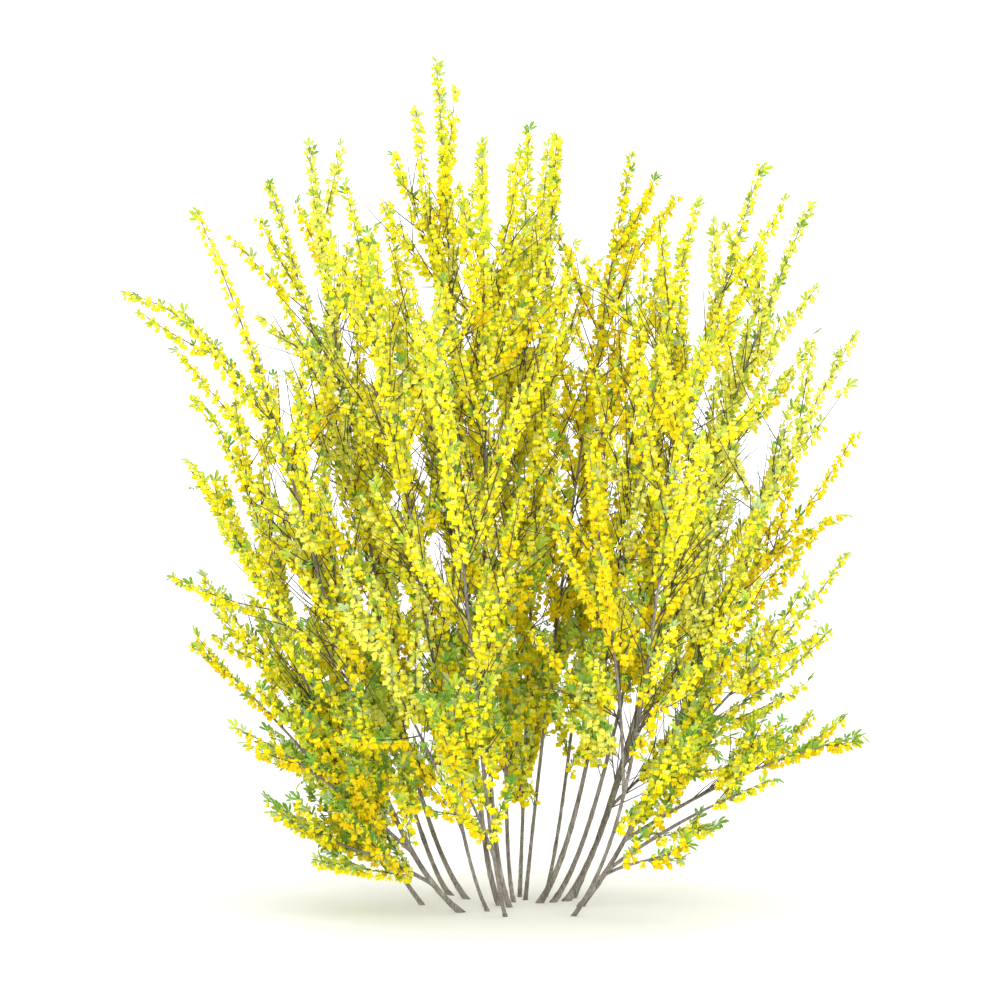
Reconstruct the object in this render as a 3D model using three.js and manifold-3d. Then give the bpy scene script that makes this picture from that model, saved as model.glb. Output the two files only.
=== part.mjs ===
// A scotch broom in full flower: a clump of slender stems from one root, fanning out into a round crown.
// Each stem is bare wood at its foot, and its shoot, twigs and blossom grow on from there as one mass.
// Millimetres, +Z up, +Y away from the front. The origin is the middle of the main stem's cut at the ground.
import * as THREE from "three";
import { mergeVertices } from "three/addons/utils/BufferGeometryUtils.js";
import Module from "manifold-3d";

const wasm = await Module();
wasm.setup();
const { lerp, clamp, degToRad } = THREE.MathUtils;

// Stems: the cut at the ground, the knee where the stem has turned upright, the tip of its shoot, its girth.
// An arching stem climbs by its own arch before it spreads.
const STEMS = [
  { name: "stem_main", foot: [0, 0], knee: [-42, 5], tip: [-150, 30, 1978], girth: 13 },
  { name: "stem_01", foot: [-182, 10], knee: [-308, 15], tip: [-712, -100, 1033], girth: 10 },
  { name: "stem_02", foot: [-90, -115], knee: [-226, -190], tip: [-680, -300, 1597], girth: 13 },
  { name: "stem_03", foot: [-120, 190], knee: [-212, 300], tip: [-890, 100, 1433], girth: 11, arch: 0.95 },
  { name: "stem_04", foot: [-80, 115], knee: [-178, 200], tip: [-570, 350, 1729], girth: 12 },
  { name: "stem_05", foot: [-29, -97], knee: [-86, -170], tip: [-338, -450, 1633], girth: 8 },
  { name: "stem_06", foot: [12, -186], knee: [-20, -320], tip: [-140, -760, 1330], girth: 8 },
  { name: "stem_07", foot: [22, -30], knee: [-14, -60], tip: [-40, -330, 1745], girth: 12 },
  { name: "stem_08", foot: [32, 57], knee: [16, 95], tip: [70, 200, 1833], girth: 9 },
  { name: "stem_09", foot: [47, 154], knee: [56, 280], tip: [142, 480, 1850], girth: 9 },
  { name: "stem_10", foot: [60, 97], knee: [82, 150], tip: [318, 200, 1779], girth: 9 },
  { name: "stem_11", foot: [93, 45], knee: [172, 20], tip: [450, -180, 1625], girth: 14 },
  { name: "stem_12", foot: [108, 150], knee: [150, 290], tip: [330, 730, 1450], girth: 9 },
  { name: "stem_13", foot: [125, 57], knee: [216, 90], tip: [618, 60, 1738], girth: 12 },
  { name: "stem_14", foot: [158, 81], knee: [258, 160], tip: [749, 230, 1660], girth: 15 },
  { name: "stem_15", foot: [175, 130], knee: [262, 290], tip: [680, 520, 1400], girth: 10 },
  { name: "stem_16", foot: [187, -16], knee: [312, -30], tip: [815, -100, 1325], girth: 12 },
  { name: "stem_17", foot: [167, -178], knee: [252, -300], tip: [430, -640, 1280], girth: 9 },
];

// Side shoots: the stem that bears them, the share of its length where they leave it, and their tip.
// Those with a bare share are a bough for that share of their length. The leafy ones carry little blossom.
// Those with a rise of their own end more level than the others.
const SIDES = [
  { name: "left_low", from: "stem_02", at: 0.055, tip: [-500, -200, 240], bare: 0.25, leafy: true },
  { name: "left_front", from: "stem_02", at: 0.11, tip: [-590, -330, 440], bare: 0.35, rise: -0.2 },
  { name: "left_mid", from: "stem_01", at: 0.15, tip: [-720, 20, 610], bare: 0.3, rise: -0.2 },
  { name: "right_low", from: "stem_16", at: 0.07, tip: [620, -240, 320], bare: 0.4, rise: -0.1 },
  { name: "right_mid", from: "stem_16", at: 0.125, tip: [838, -50, 400], bare: 0.3, rise: -0.2 },
  { name: "right_front", from: "stem_17", at: 0.085, tip: [420, -430, 200], bare: 0.15, leafy: true },
  { name: "left_back", from: "stem_03", at: 0.14, tip: [-700, 330, 690] },
  { name: "left_high", from: "stem_01", at: 0.25, tip: [-735, 130, 1190], rise: -0.7 },
  { name: "top_left", from: "stem_04", at: 0.26, tip: [-455, 130, 1790] },
  { name: "right_back", from: "stem_14", at: 0.14, tip: [800, 220, 640] },
  { name: "right_waist", from: "stem_16", at: 0.21, tip: [790, -180, 830] },
  { name: "right_high", from: "stem_14", at: 0.25, tip: [840, 60, 1110] },
  { name: "front_left", from: "stem_05", at: 0.12, tip: [-330, -600, 800] },
  { name: "front_low", from: "stem_06", at: 0.12, tip: [-130, -640, 480], leafy: true },
  { name: "front_right", from: "stem_17", at: 0.25, tip: [190, -620, 1060] },
  { name: "back_low", from: "stem_09", at: 0.12, tip: [-40, 720, 700] },
  { name: "back_left", from: "stem_04", at: 0.14, tip: [-400, 640, 820] },
  { name: "back_right", from: "stem_15", at: 0.18, tip: [480, 640, 660] },
];

// A stem's path, and the share of its length that is bare wood
const KNEE_HEIGHT = 200;
const KNEE_SHARE = 0.215;
const PATH_SPREAD = 0.33;
const PATH_RISE = 0.5;
const BARE_SHARE = 0.3;

// A side shoot's path: how much it heads along its stem at first, and how much it points up at its tip
const SIDE_FOLLOWS = 0.35;
const SIDE_RISES = 0.25;
const SIDE_PULL = 0.32;

// Thickness of the wood. A stem flares at its foot, and a joint of two solids is a narrow gap.
const FLARE = 0.3;
const FLARE_HEIGHT = 30;
const BOUGH_RADIUS = 4.5;
const SHOOT_RADIUS = 4;
const TWIG_RADIUS = 2.2;
const TIP_RADIUS = 1.2;
const JOINT_GAP = 0.3;

// Faces of the wood
const WOOD_SIDES = 6;
const TWIG_SIDES = 3;
const STEM_STEPS = 8;
const FOOT_CROWDING = 1.4;
const BOUGH_STEPS = 5;
const SHOOT_STEPS = 6;
const TWIG_STEPS = 2;
const LINE_STEPS = 12;

// Twigs leave a shoot by turns, bend upwards, and are tried at shorter lengths where they don't fit
const TWIG_GAP = 380;
const FEWEST_TWIGS = 3;
const TWIG_START = 0.12;
const TWIG_SCATTER = 0.3;
const TWIG_TURN = degToRad(137.5);
const TWIG_ANGLE = degToRad(24);
const TWIG_LIFT = 0.35;
const TWIG_REACH = 0.42;
const TWIG_SHORTEST = 130;
const TWIG_LONGEST = 460;
const TWIG_TRIMS = [1, 0.75, 0.5];

// Where along a twig its space is probed
const PROBE_FROM = 0.2;
const PROBE_STEPS = 6;

// Sprays: slim eight-sided bodies that each stand for a few flowering twiglets, their roots sunk in the wood
const SPRAY_LENGTH = 230;
const SPRAY_WIDTH = 85;
const SPRAY_THICKNESS = 64;
const SPRAY_ANGLE = degToRad(21);
const END_ANGLE = degToRad(4);
const SPRAY_SUNK = 1;
const SPRAY_GAP = 150;
const SPRAY_APART = 60;
const SPRAY_FIRST = 0.1;
const END_OVERLAP = 4;
const SHOOT_BARE = 0.05;
const TWIG_BARE = 60;

// The space of a mass: margins to other masses, to the wood, to the ground and beyond its own tip
const SPACE_MARGIN = 3;
const WOOD_MARGIN = 6;
const REACH_MARGIN = 12;
const CROWN_MIDDLE = new THREE.Vector3(0, 0, 700);

const BARK = new THREE.MeshStandardMaterial({ color: 0x6f6455, roughness: 0.85, metalness: 0 });
const BLOSSOM = new THREE.MeshStandardMaterial({ color: 0xf2d60e, roughness: 0.6, metalness: 0 });
const LEAVES = new THREE.MeshStandardMaterial({ color: 0x8fb84a, roughness: 0.6, metalness: 0 });

// A heading steeper than this is turned about X, and points closer than this are one
const UP = new THREE.Vector3(0, 0, 1);
const STEEP = 0.9;
const WELD = 1e-4;

// Each mass has its own run of numbers
const SEED = 101;
const SEED_STEP = 37;

// A repeatable run of numbers from 0 to 1
function dice(seed) {
  let state = seed;
  return () => {
    state = (Math.imul(state, 1664525) + 1013904223) >>> 0;
    return state / 4294967296;
  };
}

// A closed three.js geometry as a solid
function solidFrom(geometry) {
  geometry.deleteAttribute("normal");
  geometry.deleteAttribute("uv");
  const merged = mergeVertices(geometry, WELD);
  const vertProperties = merged.attributes.position.array;
  const triVerts = new Uint32Array(merged.index.array);
  return new wasm.Manifold(new wasm.Mesh({ numProp: 3, vertProperties, triVerts }));
}

// A named mesh of a solid, placed at the point where its limb or shoot begins
function placed(name, solid, at, material) {
  const { vertProperties, triVerts } = solid.getMesh();
  const geometry = new THREE.BufferGeometry();
  geometry.setAttribute("position", new THREE.BufferAttribute(vertProperties, 3));
  geometry.setIndex(new THREE.BufferAttribute(triVerts, 1));
  geometry.translate(-at.x, -at.y, -at.z);
  geometry.computeVertexNormals();
  const mesh = new THREE.Mesh(geometry, material);
  mesh.name = name;
  mesh.position.copy(at);
  return mesh;
}

// A direction square to a heading, at a turn about it
function aside(heading, turn) {
  const axis = Math.abs(heading.z) > STEEP ? new THREE.Vector3(1, 0, 0) : UP;
  const right = new THREE.Vector3().crossVectors(heading, axis).normalize();
  const over = new THREE.Vector3().crossVectors(right, heading);
  return right.multiplyScalar(Math.cos(turn)).addScaledVector(over, Math.sin(turn));
}

// A heading leant by an angle towards one side of it
function leant(heading, turn, angle) {
  const side = aside(heading, turn);
  return heading.clone().multiplyScalar(Math.cos(angle)).addScaledVector(side, Math.sin(angle));
}

// A cylinder whose rings are carried along a stretch of a path. A foot's first ring lies in the ground.
function limb(path, from, to, radiusAt, sides, steps, isFoot = false) {
  const geometry = new THREE.CylinderGeometry(1, 1, 1, sides, steps);
  const place = geometry.attributes.position;
  const side = aside(path.getPointAt(to).sub(path.getPointAt(from)).normalize(), 0);
  for (let i = 0; i < place.count; i++) {
    const share = (place.getY(i) + 0.5) ** (isFoot ? FOOT_CROWDING : 1);
    const heading = path.getTangentAt(lerp(from, to, share));
    const point = path.getPointAt(lerp(from, to, share));
    const across = side.clone().addScaledVector(heading, -side.dot(heading)).normalize();
    const deep = new THREE.Vector3().crossVectors(across, heading);
    const radius = radiusAt(share, point.z);
    point.addScaledVector(across, place.getX(i) * radius).addScaledVector(deep, place.getZ(i) * radius);
    if (isFoot && share === 0) point.addScaledVector(heading, -point.z / heading.z);
    place.setXYZ(i, point.x, point.y, point.z);
  }
  return solidFrom(geometry);
}

const tapering = (first, last) => (share) => lerp(first, last, share);

// A stem's radius, or that of a sleeve that clears it by a gap
function stemRadius({ girth }, gap = 0) {
  const flare = (height) => 1 + FLARE * Math.exp(-height / FLARE_HEIGHT);
  return (share, height) => lerp(girth / 2, SHOOT_RADIUS, share) * flare(height) + gap;
}

// A stem's path passes its knee and heads for the tip of its shoot
function stemPath({ foot, knee, tip, arch = PATH_RISE }) {
  const start = new THREE.Vector3(...foot, 0);
  const bend = new THREE.Vector3(...knee, KNEE_HEIGHT);
  const end = new THREE.Vector3(...tip);
  const high = bend.clone().lerp(end, PATH_SPREAD);
  high.z = lerp(bend.z, end.z, arch);
  const before = 1 - KNEE_SHARE;
  const low = bend.clone().addScaledVector(start, -(before ** 3));
  low.addScaledVector(high, -3 * before * KNEE_SHARE ** 2).addScaledVector(end, -(KNEE_SHARE ** 3));
  low.divideScalar(3 * before ** 2 * KNEE_SHARE);
  return new THREE.CubicBezierCurve3(start, low, high, end);
}

// A side shoot's path leaves its stem outwards and curves up to its tip
function sidePath(stem, { at, tip, rise = SIDE_RISES }) {
  const start = stem.getPointAt(at);
  const end = new THREE.Vector3(...tip);
  const run = end.clone().sub(start);
  const leave = run.clone().addScaledVector(stem.getTangentAt(at), SIDE_FOLLOWS * run.length());
  const arrive = run.clone().addScaledVector(UP, rise * run.length());
  const low = start.clone().addScaledVector(leave, SIDE_PULL);
  return new THREE.CubicBezierCurve3(start, low, end.clone().addScaledVector(arrive, -SIDE_PULL), end);
}

// Points spread evenly over a stretch of a path
function pointsAlong(path, from, to, count) {
  return Array.from({ length: count + 1 }, (_, i) => path.getPointAt(lerp(from, to, i / count)));
}

// A point and a heading on the straight-sided axis of a limb, at a share of it
function onLimb({ path, from, steps }, share) {
  const step = Math.min(steps - 1, Math.floor(share * steps));
  const below = path.getPointAt(lerp(from, 1, step / steps));
  const above = path.getPointAt(lerp(from, 1, (step + 1) / steps));
  const heading = above.clone().sub(below).normalize();
  return { point: below.lerp(above, share * steps - step), heading };
}

function distanceToLine(point, line) {
  let least = Infinity;
  const nearest = new THREE.Vector3();
  for (let i = 1; i < line.length; i++) {
    new THREE.Line3(line[i - 1], line[i]).closestPointToPoint(point, true, nearest);
    least = Math.min(least, nearest.distanceTo(point));
  }
  return least;
}

// One spray: its root is sunk past the wood's axis, and its body stands out of the wood
function spray(root, heading, face) {
  const flat = aside(heading, face);
  const thin = new THREE.Vector3().crossVectors(heading, flat);
  const middle = root.clone().addScaledVector(heading, SPRAY_LENGTH / 2 - SPRAY_SUNK);
  const geometry = new THREE.OctahedronGeometry(1);
  geometry.scale(SPRAY_LENGTH / 2, SPRAY_WIDTH / 2, SPRAY_THICKNESS / 2);
  geometry.applyMatrix4(new THREE.Matrix4().makeBasis(heading, flat, thin).setPosition(middle));
  return { geometry, middle };
}

// The sprays of one shoot or twig, from its tip back: one at its end, the others standing out by turns
function dress(wood, roll, grown, fits) {
  const count = Math.ceil((wood.length - wood.bare) / SPRAY_GAP);
  for (let i = 0; i < count; i++) {
    const back = SPRAY_LENGTH - END_OVERLAP + i * SPRAY_GAP;
    const { point, heading } = onLimb(wood, Math.max(SPRAY_FIRST, 1 - back / wood.length));
    const lean = leant(heading, (i + roll()) * Math.PI, i === 0 ? END_ANGLE : SPRAY_ANGLE);
    const { geometry, middle } = spray(point, lean, roll() * Math.PI);
    const place = geometry.attributes.position;
    const corner = (k) => new THREE.Vector3().fromBufferAttribute(place, k);
    const ends = [middle, ...Array.from({ length: place.count }, (_, k) => corner(k))];
    const isApart = grown.middles.every((other) => other.distanceTo(middle) > SPRAY_APART);
    if (isApart && ends.every((end) => fits(end, 0))) {
      grown.middles.push(middle);
      grown.parts.push(solidFrom(geometry));
    }
  }
}

// A twig off a shoot, or nothing where it fits at no length
function sprout(base, heading, turn, full, fits) {
  const leave = leant(heading, turn, TWIG_ANGLE);
  const rise = leave.clone().addScaledVector(UP, TWIG_LIFT).normalize();
  for (const trim of TWIG_TRIMS) {
    const length = full * trim;
    const bend = base.clone().addScaledVector(leave, length / 2);
    const path = new THREE.QuadraticBezierCurve3(base, bend, bend.clone().addScaledVector(rise, length / 2));
    if (pointsAlong(path, PROBE_FROM, 1, PROBE_STEPS).every((point) => fits(point, TWIG_RADIUS))) {
      return { path, from: 0, steps: TWIG_STEPS, length, bare: TWIG_BARE };
    }
  }
  return null;
}

// A mass: one shoot, its twigs and their sprays, fused into one body. A side shoot is cut round its stem.
function mass(shoot, fits) {
  const roll = dice(shoot.seed);
  const length = shoot.path.getLength() * (1 - shoot.from);
  const wood = { path: shoot.path, from: shoot.from, steps: SHOOT_STEPS, length, bare: length * SHOOT_BARE };
  const tube = limb(wood.path, wood.from, 1, tapering(SHOOT_RADIUS, TIP_RADIUS), TWIG_SIDES, SHOOT_STEPS);
  const grown = { parts: [shoot.sleeve ? tube.subtract(shoot.sleeve) : tube], middles: [] };
  dress(wood, roll, grown, fits);
  const count = Math.max(FEWEST_TWIGS, Math.round(length / TWIG_GAP));
  let turn = roll() * Math.PI * 2;
  for (let i = 0; i < count; i++) {
    turn += TWIG_TURN;
    const share = lerp(TWIG_START, 1, (i + TWIG_SCATTER * roll()) / count);
    const { point, heading } = onLimb(wood, share);
    const full = clamp(length * (1 - share) * TWIG_REACH + TWIG_SHORTEST, TWIG_SHORTEST, TWIG_LONGEST);
    const twig = sprout(point, heading, turn, full, fits);
    if (twig) {
      grown.parts.push(limb(twig.path, 0, 1, tapering(TWIG_RADIUS, TIP_RADIUS), TWIG_SIDES, TWIG_STEPS));
      dress(twig, roll, grown, fits);
    }
  }
  const bodies = wasm.Manifold.union(grown.parts).decompose();
  return bodies.reduce((largest, body) => (body.volume() > largest.volume() ? body : largest));
}

// The share of a path that lies one joint gap past a given share
const pastJoint = (path, share) => share + JOINT_GAP / path.getLength();

const shrub = new THREE.Group();
const wood = [];
const shoots = [];
const clumps = {};

// The stems: each is a limb from its cut at the ground to where its shoot takes over
for (const stem of STEMS) {
  const path = stemPath(stem);
  const group = new THREE.Group();
  const solid = limb(path, 0, BARE_SHARE, stemRadius(stem), WOOD_SIDES, STEM_STEPS, true);
  const sleeve = limb(path, 0, BARE_SHARE, stemRadius(stem, JOINT_GAP), WOOD_SIDES, STEM_STEPS, true);
  group.add(placed(stem.name, solid, path.getPointAt(0), BARK));
  shrub.add(group);
  clumps[stem.name] = { group, path, sleeve };
  wood.push({ line: pointsAlong(path, 0, BARE_SHARE, LINE_STEPS), girth: stem.girth });
  shoots.push({ name: stem.name, group, path, from: pastJoint(path, BARE_SHARE) });
}

// The side shoots: each leaves its stem as a bough that a shoot carries on, or as a shoot from the start
for (const side of SIDES) {
  const { group, path: stem, sleeve } = clumps[side.from];
  const path = sidePath(stem, side);
  const { name, bare, leafy } = side;
  if (bare) {
    const solid = limb(path, 0, bare, tapering(BOUGH_RADIUS, SHOOT_RADIUS), WOOD_SIDES, BOUGH_STEPS);
    group.add(placed("bough_" + name, solid.subtract(sleeve), path.getPointAt(0), BARK));
    wood.push({ line: pointsAlong(path, 0, bare, LINE_STEPS), girth: 2 * BOUGH_RADIUS });
    shoots.push({ name, group, path, leafy, from: pastJoint(path, bare) });
  } else {
    shoots.push({ name, group, path, leafy, from: 0, sleeve });
  }
}

// The masses: each keeps to the points that lie nearer to its own shoot than to any other, clear of all wood
for (const shoot of shoots) shoot.line = pointsAlong(shoot.path, shoot.from, 1, LINE_STEPS);
shoots.forEach((shoot, i) => {
  shoot.seed = SEED + SEED_STEP * i;
  const others = shoots.filter((other) => other !== shoot);
  const reach = shoot.path.v3.distanceTo(CROWN_MIDDLE) + REACH_MARGIN;
  const fits = (point, radius) => {
    if (point.z < radius + SPACE_MARGIN || point.distanceTo(CROWN_MIDDLE) > reach) return false;
    const margin = radius + WOOD_MARGIN;
    if (wood.some(({ line, girth }) => distanceToLine(point, line) < girth / 2 + margin)) return false;
    const own = distanceToLine(point, shoot.line) + 2 * radius + SPACE_MARGIN;
    return others.every((other) => distanceToLine(point, other.line) > own);
  };
  const name = (shoot.leafy ? "leaves_" : "blossom_") + shoot.name;
  const at = shoot.path.getPointAt(shoot.from);
  shoot.group.add(placed(name, mass(shoot, fits), at, shoot.leafy ? LEAVES : BLOSSOM));
});

export default shrub;
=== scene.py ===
"""A scotch broom in full flower: bark on its stems, and twigs, blossom and leaves grown on from them."""
import functools
import math
from collections import namedtuple

import bpy
import numpy as np
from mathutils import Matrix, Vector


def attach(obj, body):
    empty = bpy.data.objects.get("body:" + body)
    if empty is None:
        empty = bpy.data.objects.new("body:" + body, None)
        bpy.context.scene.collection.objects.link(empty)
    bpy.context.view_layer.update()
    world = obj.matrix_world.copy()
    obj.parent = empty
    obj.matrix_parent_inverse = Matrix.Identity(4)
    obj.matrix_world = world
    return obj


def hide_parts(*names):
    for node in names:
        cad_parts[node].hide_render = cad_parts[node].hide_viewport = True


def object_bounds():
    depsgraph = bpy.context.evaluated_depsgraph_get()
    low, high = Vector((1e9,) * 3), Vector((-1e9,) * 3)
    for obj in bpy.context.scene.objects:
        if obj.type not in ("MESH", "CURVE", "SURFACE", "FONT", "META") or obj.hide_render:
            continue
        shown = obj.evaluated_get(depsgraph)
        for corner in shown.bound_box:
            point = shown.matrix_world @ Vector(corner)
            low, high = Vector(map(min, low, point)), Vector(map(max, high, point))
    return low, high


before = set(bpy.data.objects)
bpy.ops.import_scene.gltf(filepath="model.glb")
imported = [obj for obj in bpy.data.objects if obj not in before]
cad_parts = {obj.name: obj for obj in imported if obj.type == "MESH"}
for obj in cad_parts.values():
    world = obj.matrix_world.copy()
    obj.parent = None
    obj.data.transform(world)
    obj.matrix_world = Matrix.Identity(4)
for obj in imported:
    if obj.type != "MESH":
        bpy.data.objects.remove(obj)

CAD_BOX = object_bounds()

bl_info = {
    "name": "Scotch Broom",
    "version": (1, 0, 0),
    "blender": (4, 5, 0),
    "location": "3D View > Sidebar > Broom",
    "description": "Grows a flowering scotch broom on its stems",
    "category": "Object",
}

# The stems and the side shoots, in metres, as the frame's solids have them
STEM_ARCH = 0.5
SIDE_RISE = 0.25
Stem = namedtuple("Stem", "name foot knee tip girth arch", defaults=(STEM_ARCH,))
Side = namedtuple("Side", "name stem at tip bare leafy rise", defaults=(0, False, SIDE_RISE))

STEMS = (
    Stem("stem_main", (0, 0), (-0.042, 0.005), (-0.150, 0.030, 1.978), 0.013),
    Stem("stem_01", (-0.182, 0.010), (-0.308, 0.015), (-0.712, -0.100, 1.033), 0.010),
    Stem("stem_02", (-0.090, -0.115), (-0.226, -0.190), (-0.680, -0.300, 1.597), 0.013),
    Stem("stem_03", (-0.120, 0.190), (-0.212, 0.300), (-0.890, 0.100, 1.433), 0.011, 0.95),
    Stem("stem_04", (-0.080, 0.115), (-0.178, 0.200), (-0.570, 0.350, 1.729), 0.012),
    Stem("stem_05", (-0.029, -0.097), (-0.086, -0.170), (-0.338, -0.450, 1.633), 0.008),
    Stem("stem_06", (0.012, -0.186), (-0.020, -0.320), (-0.140, -0.760, 1.330), 0.008),
    Stem("stem_07", (0.022, -0.030), (-0.014, -0.060), (-0.040, -0.330, 1.745), 0.012),
    Stem("stem_08", (0.032, 0.057), (0.016, 0.095), (0.070, 0.200, 1.833), 0.009),
    Stem("stem_09", (0.047, 0.154), (0.056, 0.280), (0.142, 0.480, 1.850), 0.009),
    Stem("stem_10", (0.060, 0.097), (0.082, 0.150), (0.318, 0.200, 1.779), 0.009),
    Stem("stem_11", (0.093, 0.045), (0.172, 0.020), (0.450, -0.180, 1.625), 0.014),
    Stem("stem_12", (0.108, 0.150), (0.150, 0.290), (0.330, 0.730, 1.450), 0.009),
    Stem("stem_13", (0.125, 0.057), (0.216, 0.090), (0.618, 0.060, 1.738), 0.012),
    Stem("stem_14", (0.158, 0.081), (0.258, 0.160), (0.749, 0.230, 1.660), 0.015),
    Stem("stem_15", (0.175, 0.130), (0.262, 0.290), (0.680, 0.520, 1.400), 0.010),
    Stem("stem_16", (0.187, -0.016), (0.312, -0.030), (0.815, -0.100, 1.325), 0.012),
    Stem("stem_17", (0.167, -0.178), (0.252, -0.300), (0.430, -0.640, 1.280), 0.009),
)
SIDES = (
    Side("left_low", "stem_02", 0.055, (-0.500, -0.200, 0.240), 0.25, True),
    Side("left_front", "stem_02", 0.11, (-0.590, -0.330, 0.440), 0.35, rise=-0.2),
    Side("left_mid", "stem_01", 0.15, (-0.720, 0.020, 0.610), 0.3, rise=-0.2),
    Side("right_low", "stem_16", 0.07, (0.620, -0.240, 0.320), 0.4, rise=-0.1),
    Side("right_mid", "stem_16", 0.125, (0.838, -0.050, 0.400), 0.3, rise=-0.2),
    Side("right_front", "stem_17", 0.085, (0.420, -0.430, 0.200), 0.15, True),
    Side("left_back", "stem_03", 0.14, (-0.700, 0.330, 0.690)),
    Side("left_high", "stem_01", 0.25, (-0.735, 0.130, 1.190), rise=-0.7),
    Side("top_left", "stem_04", 0.26, (-0.455, 0.130, 1.790)),
    Side("right_back", "stem_14", 0.14, (0.800, 0.220, 0.640)),
    Side("right_waist", "stem_16", 0.21, (0.790, -0.180, 0.830)),
    Side("right_high", "stem_14", 0.25, (0.840, 0.060, 1.110)),
    Side("front_left", "stem_05", 0.12, (-0.330, -0.600, 0.800)),
    Side("front_low", "stem_06", 0.12, (-0.130, -0.640, 0.480), leafy=True),
    Side("front_right", "stem_17", 0.25, (0.190, -0.620, 1.060)),
    Side("back_low", "stem_09", 0.12, (-0.040, 0.720, 0.700)),
    Side("back_left", "stem_04", 0.14, (-0.400, 0.640, 0.820)),
    Side("back_right", "stem_15", 0.18, (0.480, 0.640, 0.660)),
)

# Long twigs, listed by stem: where along the stem each leaves, and its tip
LONG_RISE = 0.45
LONG_TWIGS = {
    "stem_main": (
        (0.60, (-0.195, -0.03, 1.860)), (0.42, (-0.265, -0.05, 1.640)), (0.35, (-0.240, 0.06, 1.400)),
        (0.40, (0.170, -0.10, 1.540)), (0.55, (0.050, -0.05, 1.760)),
    ),
    "stem_02": (
        (0.32, (-0.400, -0.22, 1.020)), (0.40, (-0.490, -0.10, 1.080)), (0.35, (-0.430, 0.10, 1.120)),
    ),
    "stem_03": (
        (0.35, (-0.480, 0.05, 1.030)), (0.25, (-0.500, -0.10, 0.720)), (0.20, (-0.560, -0.10, 0.520)),
    ),
    "stem_04": ((0.50, (-0.330, 0.16, 1.560)), (0.45, (-0.240, 0.05, 1.520))),
    "stem_05": (
        (0.45, (-0.300, -0.20, 1.550)), (0.34, (-0.420, -0.30, 0.980)), (0.40, (-0.280, -0.30, 1.530)),
    ),
    "stem_07": (
        (0.50, (-0.215, -0.25, 1.500)), (0.45, (-0.270, -0.15, 1.430)), (0.32, (-0.170, -0.32, 0.840)),
    ),
    "stem_08": (
        (0.58, (0.114, 0.10, 1.790)), (0.55, (0.030, 0.10, 1.740)), (0.42, (0.160, 0.00, 1.440)),
    ),
    "stem_10": ((0.50, (0.390, 0.15, 1.520)),),
    "stem_11": ((0.50, (0.400, -0.05, 1.450)), (0.42, (0.330, -0.15, 1.500))),
    "stem_13": ((0.52, (0.430, 0.02, 1.560)), (0.45, (0.380, 0.08, 1.500))),
    "stem_14": (
        (0.35, (0.550, 0.00, 0.980)), (0.50, (0.430, 0.05, 1.420)), (0.45, (0.660, 0.05, 1.380)),
    ),
    "stem_16": ((0.35, (0.610, -0.10, 0.960)),),
}

# Gaps through which the sky shows from the camera: x, z and radius on the plane through the main stem
GAPS = np.array((
    (-0.649, 1.441, 0.070), (-0.607, 1.331, 0.054), (-0.707, 1.518, 0.070), (-0.061, 1.863, 0.050),
    (0.586, 1.070, 0.042), (0.751, 1.168, 0.042), (0.791, 1.018, 0.089), (0.800, 0.694, 0.070),
    (-0.686, 0.475, 0.080), (-0.551, 0.302, 0.040), (0.292, 0.430, 0.050), (0.280, 0.320, 0.050),
    (0.470, 0.260, 0.045), (0.185, 1.600, 0.045), (0.420, 1.590, 0.035), (0.060, 0.190, 0.040),
))
CAMERA_DISTANCE = 7.0
CAMERA_HEIGHT = 0.946

# The limbs' paths and thickness
KNEE_HEIGHT = 0.200
KNEE_SHARE = 0.215
PATH_SPREAD = 0.33
BARE_SHARE = 0.3
SIDE_FOLLOWS = 0.35
SIDE_PULL = 0.32
FLARE = 0.3
FLARE_HEIGHT = 0.030
BOUGH_RADIUS = 0.0045
SHOOT_RADIUS = 0.004
TWIG_RADIUS = 0.0022
JOINT_GAP = 0.0003
TAPER = 0.8
LEAST_SHARE = 1e-6
STEEP = 0.9

# The twigs' and sprays' rule
SHOOT_STEPS = 6
TWIG_STEPS = 2
LINE_STEPS = 12
TWIG_GAP = 0.380
FEWEST_TWIGS = 3
TWIG_START = 0.12
TWIG_SCATTER = 0.3
TWIG_TURN = math.radians(137.5)
TWIG_ANGLE = math.radians(24)
TWIG_LIFT = 0.35
TWIG_REACH = 0.42
TWIG_SHORTEST = 0.130
TWIG_LONGEST = 0.460
TWIG_TRIMS = (1, 0.75, 0.5)
SPRAY_LENGTH = 0.230
SPRAY_WIDTH = 0.085
SPRAY_THICKNESS = 0.064
SPRAY_ANGLE = math.radians(21)
END_ANGLE = math.radians(4)
SPRAY_SUNK = 0.001
SPRAY_GAP = 0.150
SPRAY_APART = 0.060
SPRAY_FIRST = 0.1
END_OVERLAP = 0.004
SHOOT_BARE = 0.05
TWIG_BARE = 0.060
SPACE_MARGIN = 0.003
WOOD_MARGIN = 0.006
REACH_MARGIN = 0.012
CROWN_MIDDLE = np.array((0, 0, 0.700))
SEED = 101
SEED_STEP = 37
SECTOR_SEEDS = 10

# The twigs' meshes: their rings and sides, their radii at foot and tip, and the order of their materials
Tube = namedtuple("Tube", "rings sides foot tip")
TWIG_TUBE = Tube(11, 5, 0.0017, 0.0006)
WAND_TUBE = Tube(6, 4, 0.0012, 0.0005)
CROSSING_TUBE = Tube(4, 3, 0.0019, 0.0005)
SPRIG_TUBE = Tube(3, 3, 0.0005, 0.0005)
BROWN, GREEN, CALYX = range(3)

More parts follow.
